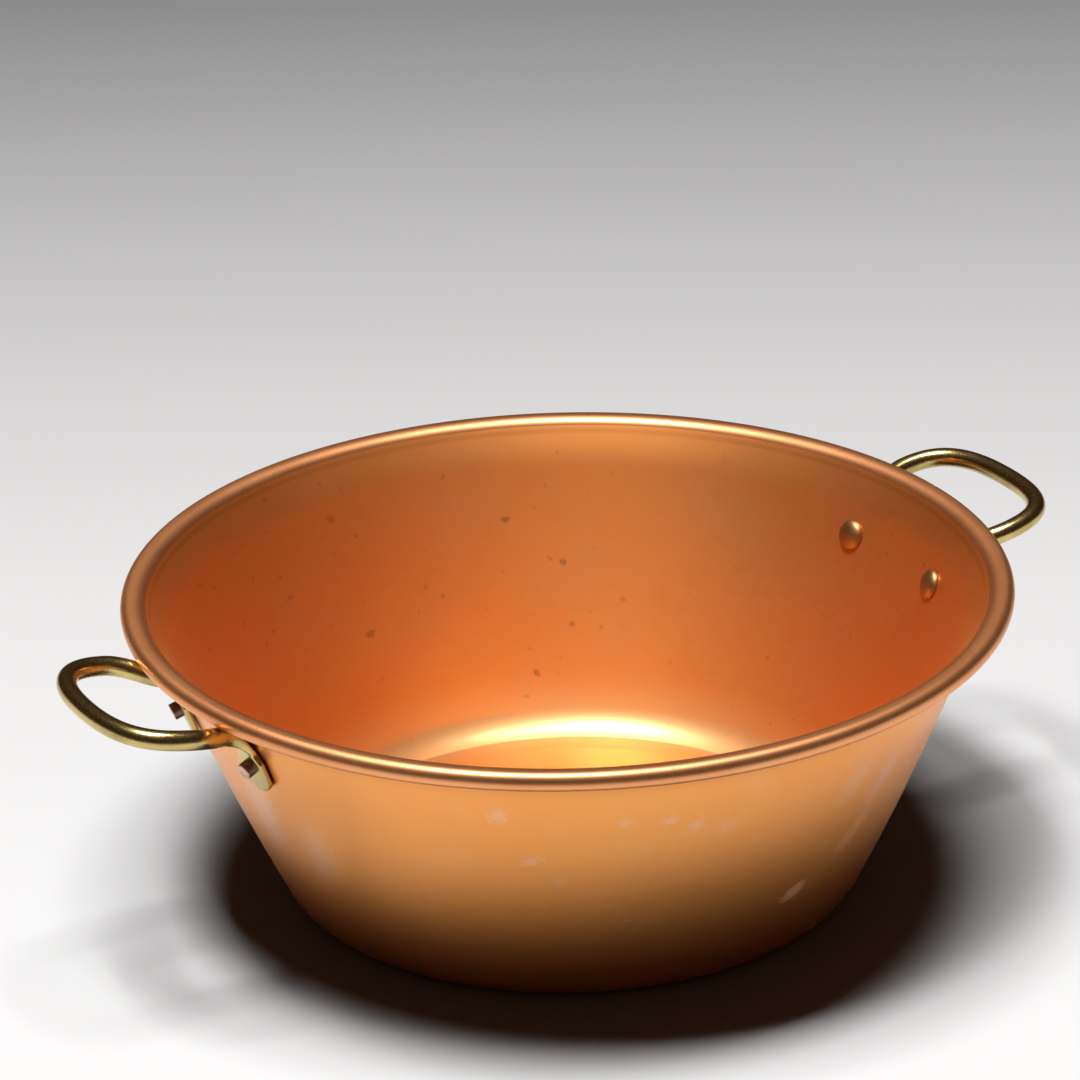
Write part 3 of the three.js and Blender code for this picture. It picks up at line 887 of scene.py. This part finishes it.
def add_camera():
    aim = Vector((0, 0, AIM_HEIGHT))
    place = aim + toward(CAMERA_TURN, CAMERA_ELEVATION) * CAMERA_DISTANCE
    ox, oy = AIM_PIXELS
    across = ox * math.cos(CAMERA_ROLL) + oy * math.sin(CAMERA_ROLL)
    down = -ox * math.sin(CAMERA_ROLL) + oy * math.cos(CAMERA_ROLL)
    ray = Vector((across, down, FOCAL_PIXELS)).normalized()
    sight = (aim - place).normalized()
    level = math.hypot(sight.x, sight.y)
    off = math.asin(ray.x / level)
    heading = math.atan2(sight.x, sight.y) - off
    pitch = math.atan2(sight.z, level * math.cos(off)) + math.atan2(ray.y, ray.z)
    data = bpy.data.cameras.new("camera")
    data.sensor_width = SENSOR_MM
    data.lens = FOCAL_PIXELS / IMAGE_PIXELS * SENSOR_MM
    data.clip_start = CLIP_NEAR
    data.clip_end = CLIP_FAR
    camera = bpy.data.objects.new("camera", data)
    turn = Matrix.Rotation(-heading, 4, "Z") @ Matrix.Rotation(QUARTER + pitch, 4, "X")
    camera.matrix_world = Matrix.Translation(place) @ turn @ Matrix.Rotation(CAMERA_ROLL, 4, "Z")
    bpy.context.scene.collection.objects.link(camera)
    bpy.context.scene.camera = camera


def add_softbox(name, side, away, height, width, depth, power):
    """Rectangular light that faces the pan, placed to its right, beyond it and above the floor."""
    data = bpy.data.lights.new(name, "AREA")
    data.shape = "RECTANGLE"
    data.size = width
    data.size_y = depth
    data.energy = power
    lamp = bpy.data.objects.new(name, data)
    right = Vector((math.cos(CAMERA_TURN), math.sin(CAMERA_TURN), 0))
    lamp.location = right * side - toward(CAMERA_TURN, 0) * away + UP * height
    lamp.rotation_mode = "QUATERNION"
    lamp.rotation_quaternion = (UP * BEAD_CENTRE.y / 2 - lamp.location).to_track_quat("-Z", "Y")
    bpy.context.scene.collection.objects.link(lamp)


def add_fade(tree, distance, start, end):
    """Share that goes smoothly from 0 at the start distance to 1 at the end distance."""
    fade = tree.nodes.new("ShaderNodeMapRange")
    fade.interpolation_type = "SMOOTHSTEP"
    fade.inputs["From Min"].default_value = start
    fade.inputs["From Max"].default_value = end
    tree.links.new(distance, fade.inputs["Value"])
    return fade.outputs[0]


def floor_material():
    material = bpy.data.materials.new("studio_floor")
    material.use_nodes = True
    tree = material.node_tree
    shader = tree.nodes["Principled BSDF"]
    shader.inputs["Roughness"].default_value = FLOOR_ROUGHNESS
    shader.inputs["Specular IOR Level"].default_value = FLOOR_SPECULAR
    place = tree.nodes.new("ShaderNodeTexCoord").outputs["Object"]
    beyond = tree.nodes.new("ShaderNodeVectorMath")
    beyond.operation = "DOT_PRODUCT"
    beyond.inputs[1].default_value = -toward(CAMERA_TURN, 0)
    tree.links.new(place, beyond.inputs[0])
    # Painted shade: the floor darkens beyond the pan and towards its front
    painted_shade = tree.nodes.new("ShaderNodeMath")
    painted_shade.operation = "MAXIMUM"
    for fade, socket in zip((FAR_SHADE_FADE, NEAR_SHADE_FADE), painted_shade.inputs):
        tree.links.new(add_fade(tree, beyond.outputs["Value"], *fade), socket)
    tone = tree.nodes.new("ShaderNodeMix")
    tone.data_type = "RGBA"
    tone.inputs[6].default_value = FLOOR_PALE
    tone.inputs[7].default_value = FLOOR_SHADE
    tree.links.new(painted_shade.outputs[0], tone.inputs[0])
    tree.links.new(tone.outputs[2], shader.inputs["Base Color"])
    return material


def add_floor():
    mesh = bpy.data.meshes.new("floor")
    corners = [(x * FLOOR_REACH, y * FLOOR_REACH, 0) for x, y in ((-1, -1), (1, -1), (1, 1), (-1, 1))]
    mesh.from_pydata(corners, [], [(0, 1, 2, 3)])
    mesh.materials.append(floor_material())
    floor = bpy.data.objects.new("floor", mesh)
    bpy.context.scene.collection.objects.link(floor)


def add_world():
    world = bpy.data.worlds.new("studio")
    world.use_nodes = True
    background = world.node_tree.nodes["Background"]
    background.inputs["Color"].default_value = WORLD_COLOUR
    background.inputs["Strength"].default_value = WORLD_STRENGTH
    bpy.context.scene.world = world


def studio():
    add_camera()
    add_floor()
    add_world()
    for lamp in LAMPS:
        add_softbox(*lamp)
    bpy.context.scene.view_settings.view_transform = "Standard"
    bpy.context.scene.cycles.caustics_reflective = False


studio()
dress_pan()
